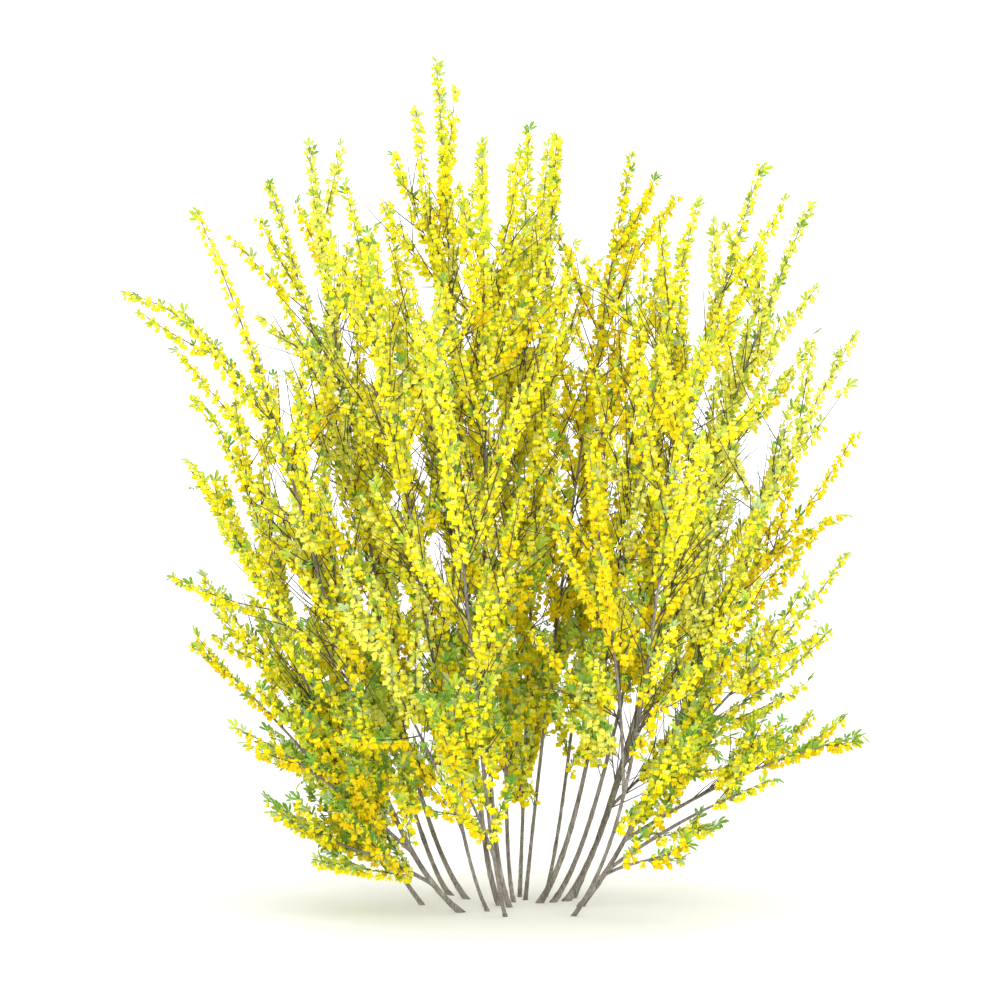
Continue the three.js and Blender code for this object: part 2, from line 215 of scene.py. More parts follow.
# Where along its length a new twig's place is tested
TWIG_TESTS = np.linspace(0.2, 1, 7)
TWIG_GAP_TESTS = (0.5, 1)
WAND_TESTS = (0.4, 0.7, 1)
WAND_GAP_TESTS = (0.6, 1)
CROSS_TESTS = (0.5, 1)
SPUR_TESTS = (0.3, 0.65, 1)

# More twigs between the solids' own, which fill the inside of the crown
MORE_FROM = 0.08
MORE_GAP = 0.12
MORE_ANGLES = (0.4, 1.0)
MORE_REACH = 0.5
MORE_TRIMS = (0.6, 1)

# The wands, which carry the flowers: one for each spray, and extra ones along the limbs where there is room
WAND_BARE = 0.06
WAND_BOWS = (0.01, 0.07)
WAND_LIFTS = (-0.05, 0.07)
END_STARTS = (0.02, 0.45)
END_ANGLES = (0.10, 0.24)
END_TRIMS = (0.6, 1.0)
END_BACK = 0.12
EXTRA_FROM = 0.03
EXTRA_GAP = 0.26
EXTRA_JITTER = 0.3
EXTRA_ANGLES = (0.25, 0.55)
EXTRA_LENGTHS = (0.10, 0.26)
EXTRA_SHORTEST = 0.06
EXTRA_LIFT = 0.15
TIP_CLEAR = 0.26
TIP_LEFT = 0.4
STRAY = 0.075
STRAY_SLOPE = 0.45
LIMB_BARE = 0.45
TWIG_BARE_SHARE = 0.2
THIN_DEPTH = 1.0
THIN_LEAST = 0.08
MAIN_LEAST = 0.25
FREE = 1.0

# Bare twigs, which cross between the files of flowers inside the crown
CROSS_TOP = 0.7
CROSS_GAP = 0.04
CROSS_ANGLES = (0.25, 0.8)
CROSS_LENGTHS = (0.08, 0.24)
CROSS_DEPTH = 0.22
CROSS_OUT = 0.68
CROSS_STRAY = 0.15

# Sprigs: the youngest side twigs, which carry only leaves
SPRIG_SHARE = 0.2
SPRIG_STARTS = (0.2, 0.95)
SPRIG_ANGLES = (0.5, 1.1)
SPRIG_LENGTHS = (0.035, 0.085)
SPRIG_LEAVES = (0.35, 0.55, 0.78, 1.0)

# Spurs: leafy side twigs on the bare part of a stem, none of them in the open gap at the foot of the crown
SPUR_FROM = 0.13
SPUR_GAP = 0.04
SPUR_JITTER = 0.4
SPUR_ANGLES = (0.35, 0.8)
SPUR_LIFTS = (0, 0.35)
SPUR_LENGTHS = (0.14, 0.36)
SPUR_REACH = 0.74
SPUR_LOWEST = 0.09
OPEN_FOOT = (-0.2, 0.31, 0.38)
UNEVEN = (0.45, 1.1)
TWIGLETS = 4
TWIGLET_STARTS = (0.15, 0.8)
TWIGLET_REACH = 0.8
BARE_SPURS = 0.15
BARE_SPUR_REACH = 0.4
BARE_SPUR_BARE = 0.9

# How the flowers stand on a wand: close and all round if it is upright, apart and below it if it is level
LEVEL_AT = 0.6
LEVEL_GAP = 0.45
LEAFY_GAP = 1.3
FLOWER_END = 0.001
FLOWER_JITTER = 0.3
FLOWER_TURN = 2.4
FLOWER_TURN_JITTER = 0.4
STALK_ALONG = 0.1
STALK_HANG = 0.3
STALK_LEVEL_HANG = 1.3
STALK_SCATTER = 0.12
FOOT_SIZE = 1.05
TIP_SHRINK = 0.3
FLOWER_SIZES = (0.8, 1.12)
FORWARD = 0.9
FORWARD_DROP = 0.1
FORWARD_SCATTER = 0.25
UP_LEAN = 0.25
UP_SCATTER = 0.2

# Which wands have lemon, golden and pale flowers. Golden is painted shade and pale a painted highlight,
# both copies of the lemon yellow: more of them golden low down, where the crown is shaded
GOLDEN_HEIGHT = 1.2
LEMON_TO = 0.58
LEMON_LESS = 0.2
GOLDEN_TO = 0.82
GOLDEN_MORE = 0.1
GREEN_WANDS = 0.35
TINT_SHUFFLE = 7

# How the leaves stand: closer together low down and on leafy twigs, and more of them young high up
LEAFY_TUFTS = 0.33
LOW_TUFTS = 0.55
LOW_FROM = 1.0
LOW_DEPTH = 0.8
LEAF_ANGLES = (0.35, 0.95)
LEAF_SIZES = (0.65, 1.15)
SPRIG_LEAF_SIZES = (0.45, 0.8)
LEAF_SCATTER = 0.5
LIME_HEIGHT = 1.4
YOUNG_SHARE = 0.3
YOUNG_MORE = 0.4
MID_SHARE = 0.7

# The bark's mesh
MEAN_RING_GAP = 1.8
RING_CROWDING = 1.35
KNOT_SHARE = 0.1
KNOT_SHAPE = (0.3, 1, 0.3)
KNOT_SIZE = 0.13
FOOT_SUNK = 0.02
FOOT_ROUNDNESS = 4
SHOOT_ROUNDNESS = 2
CUT_HEIGHT = 2e-6
CUT_FINENESS = 1e-6
MERGE_DISTANCE = 1e-5
GRAIN_SIZE = 0.012
RELIEF_FROM = 0.004

# The stage, and which output of its node gives object coordinates
FLOOR_SIDES = 96
FLOOR_RADIUS = 60
OBJECT_OUTPUT = 3

# Directions, the sectors by which the small things are joined, and how finely a curve is measured
UP = np.array((0.0, 0.0, 1.0))
OBLIQUE = UP + 0.3
SECTORS = ("right", "back_right", "back", "back_left", "left", "front_left", "front", "front_right")
DIVISIONS = 200


class Path:
    """A Bezier curve, read by shares of its length."""

    def __init__(self, *corners):
        self.corners = np.array(corners, float)
        self.times = np.linspace(0, 1, DIVISIONS + 1)
        steps = np.linalg.norm(np.diff(self.blend(self.corners, self.times), axis=0), axis=1)
        self.travel = np.concatenate(((0,), np.cumsum(steps)))
        self.length = self.travel[-1]

    @staticmethod
    def blend(corners, times):
        spots = corners[:, None, :]
        across = times[:, None]
        while len(spots) > 1:
            spots = spots[:-1] * (1 - across) + spots[1:] * across
        return np.broadcast_to(spots[0], (len(times), 3))

    def time(self, share):
        return np.interp(np.atleast_1d(share) * self.length, self.travel, self.times)

    def at(self, share):
        spots = self.blend(self.corners, self.time(share))
        return spots if np.ndim(share) else spots[0]

    def heading(self, share):
        ways = unit(self.blend(np.diff(self.corners, axis=0), self.time(share)))
        return ways if np.ndim(share) else ways[0]


def unit(vectors):
    return vectors / np.linalg.norm(vectors, axis=-1, keepdims=True)


def aside(heading, turn):
    """A direction square to a heading, at a turn about it. Works on one heading or on rows of them."""
    heading = np.asarray(heading)
    steep = np.abs(heading[..., 2:]) > STEEP
    right = unit(np.cross(heading, np.where(steep, (1.0, 0, 0), UP)))
    over = np.cross(right, heading)
    turn = np.asarray(turn)[..., None]
    return right * np.cos(turn) + over * np.sin(turn)


def leant(heading, turn, angle):
    """A heading leant over by an angle, at a turn about it."""
    angle = np.asarray(angle)[..., None]
    return heading * np.cos(angle) + aside(heading, turn) * np.sin(angle)


def any_turn(chance, count=None):
    return chance.uniform(0, math.tau, count)


def side_heading(path, share, angles, chance):
    """The heading of a side twig that leaves a path at any turn, at an angle between two limits."""
    return leant(path.heading(share), any_turn(chance), chance.uniform(*angles))


def in_box(point):
    """Whether a point lies in the solids' box."""
    return bool((point > CAD_BOX[0]).all() and (point < CAD_BOX[1]).all())


def in_gaps(points):
    """Which points the camera sees in a gap of the crown."""
    nearness = CAMERA_DISTANCE / (points[:, 1:2] + CAMERA_DISTANCE)
    centre = np.array((0, CAMERA_HEIGHT))
    seen = centre + (points[:, ::2] - centre) * nearness
    return (np.linalg.norm(seen[:, None] - GAPS[:, :2], axis=2) < GAPS[:, 2]).any(1)


def dice(seed):
    """A repeatable run of numbers from 0 to 1, the same as the solids were grown by."""
    factor, step, size = 1664525, 1013904223, 2**32
    state = seed
    while True:
        state = (state * factor + step) % size
        yield state / size


def stem_path(stem):
    """A stem's curve: from its foot through its knee, then out and up to its tip."""
    start = np.array((*stem.foot, 0.0))
    bend = np.array((*stem.knee, KNEE_HEIGHT))
    end = np.array(stem.tip)
    high = bend + (end - bend) * PATH_SPREAD
    high[2] = bend[2] + (end[2] - bend[2]) * stem.arch
    before = 1 - KNEE_SHARE
    low = bend - before**3 * start - 3 * before * KNEE_SHARE**2 * high - KNEE_SHARE**3 * end
    return Path(start, low / (3 * before**2 * KNEE_SHARE), high, end)


def side_path(stem, at, tip, rise):
    """A side shoot's curve: it leaves along its stem and rises towards its tip."""
    start = stem.at(at)
    end = np.array(tip)
    run = end - start
    size = np.linalg.norm(run)
    leave = run + stem.heading(at) * SIDE_FOLLOWS * size
    arrive = run + UP * rise * size
    return Path(start, start + leave * SIDE_PULL, end - arrive * SIDE_PULL, end)


def line_along(path, start, end):
    """Points evenly spaced along a stretch of a path."""
    return path.at(np.linspace(start, end, LINE_STEPS + 1))


def distances(points, starts, ends):
    """How far each point lies from each straight stretch."""
    run = ends - starts
    offset = points[:, None, :] - starts
    share = np.clip((offset * run).sum(2) / (run * run).sum(1), 0, 1)
    return np.linalg.norm(offset - share[..., None] * run, axis=2)


class Limb:
    """A stretch of wood that others grow from: its path, where on it it starts, and its size."""

    def __init__(self, path, start, steps, length, bare):
        self.path, self.start, self.steps, self.length, self.bare = path, start, steps, length, bare

    def share(self, along):
        return self.start + (1 - self.start) * along

    def on(self, along):
        """A point and a heading on its axis, which the solids draw in a few straight steps."""
        step = min(self.steps - 1, int(along * self.steps))
        below = self.path.at(self.share(step / self.steps))
        above = self.path.at(self.share((step + 1) / self.steps))
        return below + (above - below) * (along * self.steps - step), unit(above - below)


class Space:
    """The space of one mass: nearest to its own shoot, and clear of the wood and the ground."""

    def __init__(self, line, others, wood, girths, reach):
        self.line, self.others, self.wood, self.girths, self.reach = line, others, wood, girths, reach

    def holds(self, points, radius, stray=0.0):
        """Whether balls of a radius at the points fit, with some leave to stray towards a neighbour."""
        points = np.atleast_2d(points)
        if points[:, 2].min() < radius + SPACE_MARGIN:
            return False
        if np.linalg.norm(points - CROWN_MIDDLE, axis=1).max() > self.reach:
            return False
        room = distances(points, self.wood[:-1], self.wood[1:])[:, self.girths > 0]
        if (room < self.girths[self.girths > 0] / 2 + radius + WOOD_MARGIN).any():
            return False
        own = distances(points, self.line[:-1], self.line[1:]).min(1)
        other = distances(points, *self.others).min(1)
        return bool((other + stray > own + 2 * radius + SPACE_MARGIN).all())


# A wand's flowers begin past its bare share, and its tint from 0 to 1 picks their colours
Spray = namedtuple("Spray", "root heading is_end limb")
Wand = namedtuple("Wand", "limb bare tint is_limb is_leafy")


class Shoot:
    """One mass of the crown: a limb with its twigs and sprays, and the finer twigs that fill it."""

    def __init__(self, name, stem, path, start, leafy, node):
        self.name, self.stem, self.path, self.start = name, stem, path, start
        self.leafy, self.node = leafy, node
        self.twigs, self.sprays, self.middles = [], [], []
        self.long_twigs, self.wands, self.spurs, self.crossing, self.sprigs = [], [], [], [], []
        angle = math.atan2(path.corners[-1][1], path.corners[-1][0])
        self.sector = SECTORS[round(angle / math.tau * len(SECTORS)) % len(SECTORS)]

    def limbs(self):
        return self.limb, *self.twigs, *self.long_twigs

    def flowering(self):
        """All wands that carry flowers."""
        return *self.wands, *self.spurs

    def dress(self, limb, roll):
        """Set sprays along a limb, from its tip backwards."""
        for i in range(math.ceil((limb.length - limb.bare) / SPRAY_GAP)):
            back = SPRAY_LENGTH - END_OVERLAP + i * SPRAY_GAP
            along = max(SPRAY_FIRST, 1 - back / limb.length)
            point, heading = limb.on(along)
            lean = leant(heading, (i + roll()) * math.pi, SPRAY_ANGLE if i else END_ANGLE)
            flat = aside(lean, roll() * math.pi)
            thin = np.cross(lean, flat)
            middle = point + lean * (SPRAY_LENGTH / 2 - SPRAY_SUNK)
            arms = (lean * SPRAY_LENGTH / 2, flat * SPRAY_WIDTH / 2, thin * SPRAY_THICKNESS / 2)
            ends = [middle] + [middle + arm for arm in arms] + [middle - arm for arm in arms]
            apart = all(np.linalg.norm(middle - other) > SPRAY_APART for other in self.middles)
            if apart and self.space.holds(ends, 0):
                self.middles.append(middle)
                root = limb.path.at(limb.share(along))
                self.sprays.append(Spray(root, lean, i == 0, limb))

    def sprout(self, base, heading, turn, full, angle=TWIG_ANGLE, may_stray=False):
        """A twig of up to the full length that stays in the shoot's own space, if there is room for one."""
        leave = leant(heading, turn, angle)
        rise = unit(leave + UP * TWIG_LIFT)
        for trim in TWIG_TRIMS:
            length = full * trim
            bend = base + leave * length / 2
            path = Path(base, bend, bend + rise * length / 2)
            stray = self.stray(path.corners[-1]) if may_stray else 0
            if self.space.holds(path.at(TWIG_TESTS), TWIG_RADIUS, stray):
                return Limb(path, 0, TWIG_STEPS, length, TWIG_BARE)
        return None

    def grow(self, seed):
        """The twigs and sprays that the solids have."""
        roll = dice(seed).__next__
        length = self.path.length * (1 - self.start)
        self.limb = Limb(self.path, self.start, SHOOT_STEPS, length, length * SHOOT_BARE)
        self.dress(self.limb, roll)
        count = max(FEWEST_TWIGS, math.floor(length / TWIG_GAP + 0.5))
        turn = roll() * math.tau
        for i in range(count):
            turn += TWIG_TURN
            along = TWIG_START + (1 - TWIG_START) * (i + TWIG_SCATTER * roll()) / count
            point, heading = self.limb.on(along)
            full = length * (1 - along) * TWIG_REACH + TWIG_SHORTEST
            full = min(max(full, TWIG_SHORTEST), TWIG_LONGEST)
            twig = self.sprout(point, heading, turn, full)
            if twig:
                self.twigs.append(twig)
                self.dress(twig, roll)

    def open_gaps(self):
        """Leave out the twigs that reach into a gap of the crown, with what grows on them."""
        self.twigs = [twig for twig in self.twigs if not in_gaps(twig.path.at(TWIG_GAP_TESTS)).any()]
        self.sprays = [spray for spray in self.sprays if spray.limb in (self.limb, *self.twigs)]

    def grow_long_twigs(self):
        """The long twigs that leave this stem."""
        for at, tip in LONG_TWIGS.get(self.name, ()):
            path = side_path(self.path, at, tip, LONG_RISE)
            self.long_twigs.append(Limb(path, 0, TWIG_STEPS, path.length, TWIG_BARE))

    def grow_more_twigs(self, chance):
        """More twigs on the shoot's own limb."""
        turn, length = any_turn(chance), self.limb.length
        for along in np.arange(MORE_FROM, 1 - TIP_CLEAR / length, MORE_GAP / length):
            turn += TWIG_TURN
            point, heading = self.limb.on(along)
            full = length * (1 - along) * MORE_REACH * chance.uniform(*MORE_TRIMS) + TWIG_SHORTEST
            full = min(full, TWIG_LONGEST)
            twig = self.sprout(point, heading, turn, full, chance.uniform(*MORE_ANGLES), True)
            if twig and in_box(twig.path.corners[-1]) and not in_gaps(twig.path.at(TWIG_GAP_TESTS)).any():
                self.twigs.append(twig)

    def grow_wands(self, chance):
        """The limbs themselves, a wand for each spray, and extra ones where there is room."""
        tint = chance.random()
        for limb in self.limbs():
            bare = LIMB_BARE if limb is self.limb else TWIG_BARE_SHARE
            self.wands.append(Wand(limb, bare, tint, True, self.leafy))
        for spray in self.sprays:
            self.grow_spray(spray, chance)
        for limb in self.limbs():
            self.grow_extra(limb, chance)

    def grow_spray(self, spray, chance):
        """A wand along a spray, or beside its line where the spray ends a limb."""
        tint = chance.random()
        main = self.wand(spray.root, spray.heading, SPRAY_LENGTH, chance, tint)
        if spray.is_end:
            along = chance.uniform(*END_STARTS)
            heading = side_heading(main.limb.path, along, END_ANGLES, chance)
            length = (SPRAY_LENGTH - END_BACK) * (1 - along) * chance.uniform(*END_TRIMS)
            self.try_wand(main.limb.path.at(along), heading, length, chance, tint)
        elif self.is_kept(main, MAIN_LEAST, chance):
            self.wands.append(main)

    def grow_extra(self, limb, chance):
        """Extra wands along a limb."""
        turn = any_turn(chance)
        spots = np.arange(max(limb.bare, EXTRA_FROM), limb.length - TIP_CLEAR / 2, EXTRA_GAP) / limb.length
        for along in spots + chance.uniform(-EXTRA_JITTER, EXTRA_JITTER, len(spots)) * EXTRA_GAP:
            turn += TWIG_TURN
            share = min(1, limb.share(along))
            heading = leant(limb.path.heading(share), turn, chance.uniform(*EXTRA_ANGLES))
            heading = unit(heading + UP * EXTRA_LIFT)
            room = limb.length * (1 - along) - TIP_CLEAR * TIP_LEFT
            length = min(chance.uniform(*EXTRA_LENGTHS), max(room, EXTRA_SHORTEST))
            is_free = limb in self.long_twigs
            self.try_wand(limb.path.at(share), heading, length, chance, chance.random(), is_free)

    def grow_crossing(self, chance):
        """Bare twigs deep inside the crown."""
        for limb in self.limbs():
            for along in np.arange(0, CROSS_TOP, CROSS_GAP / limb.length):
                share = limb.share(along)
                heading = side_heading(limb.path, share, CROSS_ANGLES, chance)
                twig = self.wand(limb.path.at(share), heading, chance.uniform(*CROSS_LENGTHS), chance, 0)
                points = twig.limb.path.at(CROSS_TESTS)
                deep = self.depth(points[-1]) > CROSS_DEPTH and np.linalg.norm(points[-1][:2]) < CROSS_OUT
                if deep and in_box(points[-1]) and self.space.holds(points, 0, CROSS_STRAY):
                    self.crossing.append(twig)

    def grow_sprigs(self, chance):
        """Sprigs on some of the wands."""
        for wand in self.flowering():
            if chance.random() > SPRIG_SHARE:
                continue
            share = wand.limb.share(chance.uniform(*SPRIG_STARTS))
            heading = side_heading(wand.limb.path, share, SPRIG_ANGLES, chance)
            length = chance.uniform(*SPRIG_LENGTHS)
            sprig = self.wand(wand.limb.path.at(share), heading, length, chance, wand.tint)
            tip = sprig.limb.path.corners[-1]
            if self.depth(tip) > 0 and in_box(tip) and tip[2] > SPUR_LOWEST:
                self.sprigs.append(sprig)

    def grow_spurs(self, chance):
        """Leafy side twigs on the bare part of the stem."""
        turn = any_turn(chance)
        for share in np.arange(SPUR_FROM * self.start / BARE_SHARE, self.start, SPUR_GAP):
            turn += TWIG_TURN
            share += chance.uniform(-SPUR_JITTER, SPUR_JITTER) * SPUR_GAP
            heading = leant(self.path.heading(share), turn, chance.uniform(*SPUR_ANGLES))
            heading = unit(heading + UP * chance.uniform(*SPUR_LIFTS))
            length = chance.uniform(*SPUR_LENGTHS)
            spur = self.spur(self.path.at(share), heading, length, chance, chance.random())
            if self.is_clear(spur, chance):
                self.spurs.append(spur)
                self.grow_twiglets(spur, chance)
            elif chance.random() < BARE_SPURS:
                short = self.spur(self.path.at(share), heading, length * BARE_SPUR_REACH, chance, 0)
                self.spurs.append(short._replace(bare=BARE_SPUR_BARE))

    def grow_twiglets(self, spur, chance):
        """Smaller side twigs on a spur."""
        path = spur.limb.path
        for along in chance.uniform(*TWIGLET_STARTS, TWIGLETS):
            heading = side_heading(path, along, EXTRA_ANGLES, chance)
            length = spur.limb.length * (1 - along) * TWIGLET_REACH
            twiglet = self.spur(path.at(along), heading, length, chance, spur.tint)
            if self.is_clear(twiglet, chance):
                self.spurs.append(twiglet)

    @staticmethod
    def is_clear(wand, chance):
        """Whether a spur leaves open the foot of the crown, which has an uneven edge, and the gaps."""
        points = wand.limb.path.at(SPUR_TESTS)
        left, right, top = OPEN_FOOT
        top *= chance.uniform(*UNEVEN)
        in_gap = (points[:, 0] > left) & (points[:, 0] < right) & (points[:, 2] < top)
        inside = np.linalg.norm(points - CROWN_MIDDLE, axis=1) < SPUR_REACH
        in_gap |= in_gaps(points)
        return bool(inside.all() and not in_gap.any() and points[:, 2].min() > SPUR_LOWEST)

    def try_wand(self, root, heading, length, chance, tint, is_free=False):
        """Keep a wand that has room. On a long twig it is free to stand among a neighbour's."""
        wand = self.wand(root, heading, length, chance, tint)
        points = wand.limb.path.at(WAND_TESTS)
        stray = FREE if is_free else self.stray(points[-1])
        if self.is_kept(wand, THIN_LEAST, chance) and self.space.holds(points, 0, stray):
            self.wands.append(wand)

    def is_kept(self, wand, least, chance):
        """Fewer wands are kept near the outside of the crown, and none in a gap or beyond the box."""
        tip = wand.limb.path.corners[-1]
        is_open = in_gaps(wand.limb.path.at(WAND_GAP_TESTS)).any()
        return in_box(tip) and not is_open and chance.random() < max(least, self.depth(tip) / THIN_DEPTH)

    def depth(self, point):
        """How far a point lies inside the shoot's reach."""
        return self.space.reach - np.linalg.norm(point - CROWN_MIDDLE)

    def stray(self, tip):
        """How far a twig may stray into a neighbour's space: least at the outside of the crown."""
        return min(STRAY, max(0, self.depth(tip) * STRAY_SLOPE))

    def wand(self, root, heading, length, chance, tint):
        """A slim twig with a slight bow."""
        bow = aside(heading, any_turn(chance)) * chance.uniform(*WAND_BOWS) * length
        lift = UP * chance.uniform(*WAND_LIFTS) * length
        middle = root + heading * length / 2 + bow - lift
        path = Path(root, middle, root + heading * length + lift)
        return Wand(Limb(path, 0, TWIG_STEPS, length, 0), WAND_BARE, tint, False, self.leafy)

    def spur(self, *place):
        return self.wand(*place)._replace(is_leafy=True)


@functools.lru_cache(maxsize=1)
def plant():
    """All shoots of the crown, grown once and shared by the operators."""
    paths = {stem.name: stem_path(stem) for stem in STEMS}
    shoots, wood = [], []
    for stem in STEMS:
        path = paths[stem.name]
        wood.append((line_along(path, 0, BARE_SHARE), stem.girth))
        start = BARE_SHARE + JOINT_GAP / path.length
        shoots.append(Shoot(stem.name, stem.name, path, start, False, "blossom_" + stem.name))
    for side in SIDES:
        path = side_path(paths[side.stem], side.at, side.tip, side.rise)
        if side.bare:
            wood.append((line_along(path, 0, side.bare), 2 * BOUGH_RADIUS))
        start = side.bare + JOINT_GAP / path.length if side.bare else 0
        node = ("leaves_" if side.leafy else "blossom_") + side.name
        shoots.append(Shoot(side.name, side.stem, path, start, side.leafy, node))
    wood_line = np.concatenate([line for line, _ in wood])
    girths = np.concatenate([[girth] * LINE_STEPS + [0] for _, girth in wood])[:-1]
    lines = [line_along(shoot.path, shoot.start, 1) for shoot in shoots]
    for i, shoot in enumerate(shoots):
        others = [line for k, line in enumerate(lines) if k != i]
        starts = np.concatenate([line[:-1] for line in others])
        ends = np.concatenate([line[1:] for line in others])
        reach = np.linalg.norm(shoot.path.corners[-1] - CROWN_MIDDLE) + REACH_MARGIN
        shoot.space = Space(lines[i], (starts, ends), wood_line, girths, reach)
        shoot.grow(SEED + SEED_STEP * i)
        shoot.open_gaps()
        chance = np.random.default_rng(SEED + i)
        shoot.grow_more_twigs(chance)
        shoot.grow_long_twigs()
        shoot.grow_wands(chance)
        shoot.grow_spurs(chance)
        shoot.grow_sprigs(chance)
        shoot.grow_crossing(chance)
    return shoots


# Meshes from arrays
class Heap:
    """Triangles of one kind of thing, gathered from many copies and made one mesh at the end."""

    def __init__(self):
        self.points, self.faces, self.tints, self.count = [], [], [], 0

    def add(self, points, faces, tints):
        self.points.append(points)
        self.faces.append(faces + self.count)
        self.tints.append(np.broadcast_to(tints, len(faces)))
        self.count += len(points)

    def add_copies(self, shape, origins, frames, scales, tints):
        """Copies of a small shape, each at its own place. A face's tint is its copy's plus its part's."""
        points, faces, parts = shape
        turned = np.einsum("nij,vi->nvj", frames * scales[:, None, None], points) + origins[:, None, :]
        rows = np.arange(len(origins))[:, None, None] * len(points) + faces
        self.add(turned.reshape(-1, 3), rows.reshape(-1, 3), (tints[:, None] + parts).ravel())

    def add_tubes(self, centres, headings, radii, sides, tints):
        """Tubes with the same number of rings: rows of ring centres, headings and radii."""
        rows, rings = centres.shape[:2]
        first = aside(headings[:, 0], np.zeros(rows))[:, None, :]
        across = unit(first - (first * headings).sum(2, keepdims=True) * headings)
        deep = np.cross(headings, across)
        angles = np.arange(sides) / sides * math.tau
        ring = across[:, :, None] * np.cos(angles)[:, None] + deep[:, :, None] * np.sin(angles)[:, None]
        points = centres[:, :, None] + ring * radii[..., None, None]
        tip = centres[:, -1] + headings[:, -1] * radii[:, -1, None]
        points = np.concatenate((points.reshape(rows, -1, 3), tip[:, None]), axis=1)
        faces = tube_faces(rings, sides)
        places = np.arange(rows)[:, None, None] * points.shape[1] + faces
        self.add(points.reshape(-1, 3), places.reshape(-1, 3), np.repeat(tints, len(faces)))

    def piece(self, name, materials, slot, nodes):
        """One mesh of all that was gathered, in place of some of the frame's nodes."""
        points = np.concatenate(self.points)
        faces = np.concatenate(self.faces)
        mesh = bpy.data.meshes.new(name)
        mesh.vertices.add(len(points))
        mesh.vertices.foreach_set("co", points.astype(np.float32).ravel())
        mesh.loops.add(faces.size)
        mesh.loops.foreach_set("vertex_index", faces.astype(np.int32).ravel())
        mesh.polygons.add(len(faces))
        mesh.polygons.foreach_set("loop_start", np.arange(0, faces.size, 3, dtype=np.int32))
        for material in materials:
            mesh.materials.append(material)
        mesh.polygons.foreach_set("material_index", np.concatenate(self.tints).astype(np.int32))
        mesh.polygons.foreach_set("use_smooth", np.full(len(faces), slot == "bark"))
        mesh.update(calc_edges=True)
        thing = bpy.data.objects.new(name, mesh)
        bpy.context.scene.collection.objects.link(thing)
        settle(thing, nodes)


def tube_faces(rings, sides):
    """The triangles of a tube that is closed to a point at its far end."""
    faces = []
    for ring in range(rings - 1):
        for k in range(sides):
            a, b = ring * sides + k, ring * sides + (k + 1) % sides
            faces += [(a, b, b + sides), (a, b + sides, a + sides)]
    last, point = (rings - 1) * sides, rings * sides
    return np.array(faces + [(last + k, last + (k + 1) % sides, point) for k in range(sides)])


def settle(thing, nodes):
    """Tie a piece to its body and the nodes in whose place it stands."""
    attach(thing, "root")
    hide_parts(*nodes)


# Shader maths
class Link:
    """A shader socket that can be used in a Python sum."""

    def __init__(self, tree, socket):
        self.tree, self.socket = tree, socket

    def math(self, operation, first, second):
        node = self.tree.nodes.new("ShaderNodeMath")
        node.operation = operation
        for socket, value in zip(node.inputs, (first, second)):
            feed(self.tree, socket, value)
        return Link(self.tree, node.outputs[0])

    def __add__(self, other):
        return self.math("ADD", self, other)

    __radd__ = __add__

    def __mul__(self, other):
        return self.math("MULTIPLY", self, other)

    __rmul__ = __mul__

    def __sub__(self, other):
        return self.math("SUBTRACT", self, other)

    def __rsub__(self, other):
        return self.math("SUBTRACT", other, self)


def feed(tree, socket, value):
    if isinstance(value, Link):
        tree.links.new(value.socket, socket)
    else:
        socket.default_value = value


class Finish:
    """A material, its shader and the nodes that feed it."""

    def __init__(self, name, color, roughness, **constants):
        self.material = bpy.data.materials.new(name)
        self.material.use_nodes = True
        self.tree = self.material.node_tree
        self.shader = self.tree.nodes["Principled BSDF"]
        self.shader.inputs["Base Color"].default_value = (*color, 1)
        self.shader.inputs["Roughness"].default_value = roughness
        self.material.diffuse_color = (*color, 1)
        for socket, value in constants.items():
            self.shader.inputs[socket.replace("_", " ")].default_value = value

    def node(self, kind, settings=None, output=0, **inputs):
        """Any shader node, with its settings, a color ramp's stops and what feeds its sockets."""
        node = self.tree.nodes.new("ShaderNode" + kind)
        for name, value in (settings or {}).items():
            if name == "stops":
                for stop, (place, color) in zip(self.ramp_stops(node, len(value)), value):
                    stop.position, stop.color = place, (*color, 1)
            else:
                setattr(node, name, value)
        for name, value in inputs.items():
            feed(self.tree, node.inputs[name.replace("_", " ")], value)
        return Link(self.tree, node.outputs[output])

    @staticmethod
    def ramp_stops(node, count):
        stops = node.color_ramp.elements
        while len(stops) < count:
            stops.new(0.5)
        return stops

    def feed(self, **inputs):
        for name, value in inputs.items():
            feed(self.tree, self.shader.inputs[name.replace("_", " ")], value)
        return self.material

    def stretched(self, scale):
        """Object coordinates, scaled apart along the three axes."""
        place = self.node("TexCoord", output=OBJECT_OUTPUT)
        return self.node("Mapping", Vector=place, Scale=scale)


def bark_finish(settings):
    """Brown-grey bark with lengthwise ridges. It is darker in the furrows, partly the bark's own tone and
    partly painted shade, and paler on the ridges, partly its own tone and partly a painted highlight.
    """
    finish = Finish("bark", settings.bark_color, 0.85)
    along = finish.stretched((1, 1, 0.09))
    ridges = finish.node("TexNoise", Vector=along, Scale=420, Detail=5, Roughness=0.6)
    patches = finish.node("TexNoise", Vector=finish.stretched((1, 1, 0.5)), Scale=38, Detail=3)
    shade = ridges * 0.72 + patches * 0.42
    # The furrow tone is partly painted shade in the hollows of the relief, and the ridge tone partly a
    # painted highlight
    dark, middle, pale_highlight = settings.furrow_and_shade_color, settings.bark_color, settings.ridge_and_highlight_color
    stops = ((0.36, dark), (0.56, middle), (0.78, pale_highlight))
    color = finish.node("ValToRGB", {"stops": stops}, Fac=shade)
    bump = finish.node("Bump", Strength=0.55, Distance=0.0012, Height=ridges)
    return finish.feed(Base_Color=color, Normal=bump, Roughness=0.95 - ridges * 0.2)


